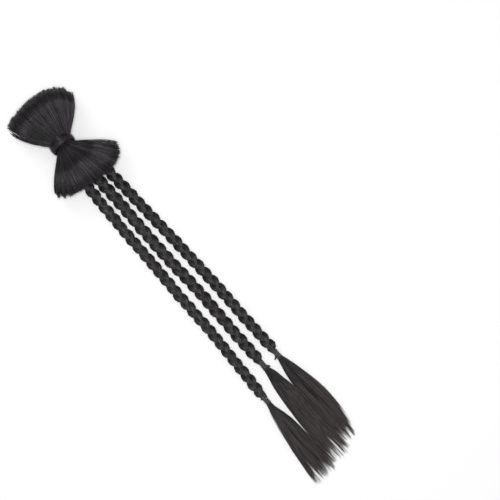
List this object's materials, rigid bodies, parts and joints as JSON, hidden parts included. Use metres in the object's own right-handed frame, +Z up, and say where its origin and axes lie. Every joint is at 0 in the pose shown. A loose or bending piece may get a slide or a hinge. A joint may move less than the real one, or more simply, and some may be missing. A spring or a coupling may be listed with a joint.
{
  "type": "braided ponytail extension with a hair bow",
  "caption": "False-hair piece: a bow of folded dark hair drawn together by a wrap, with plaited braids below it that end in banded tassels, on a flat hair clip.",
  "frame": {"origin": "on the clip's flat underside, below the knot of the bow, on the surface the piece lies on", "axes": "+X along the braids from the bow to the tassels, +Y across the braids, +Z up from the surface, out of the bow's face"},
  "size_m": [0.4461, 0.0753, 0.0288],
  "materials": {
    "hair": "black to charcoal synthetic hair with a soft satin shine along the strands",
    "elastic": "dull dark grey wound elastic",
    "clip_steel": "plain bright steel"
  },
  "bodies": {
    "root": {"clip": "clip_steel", "upper_loop": "hair", "lower_loop": "hair", "knot_wrap": "hair", "upper_braid_strand_1": "hair", "upper_braid_strand_2": "hair", "upper_braid_strand_3": "hair", "upper_band": "elastic", "upper_tassel": "hair", "middle_braid_strand_1": "hair", "middle_braid_strand_2": "hair", "middle_braid_strand_3": "hair", "middle_band": "elastic", "middle_tassel": "hair", "lower_braid_strand_1": "hair", "lower_braid_strand_2": "hair", "lower_braid_strand_3": "hair", "lower_band": "elastic", "lower_tassel": "hair"}
  },
  "joints": []
}
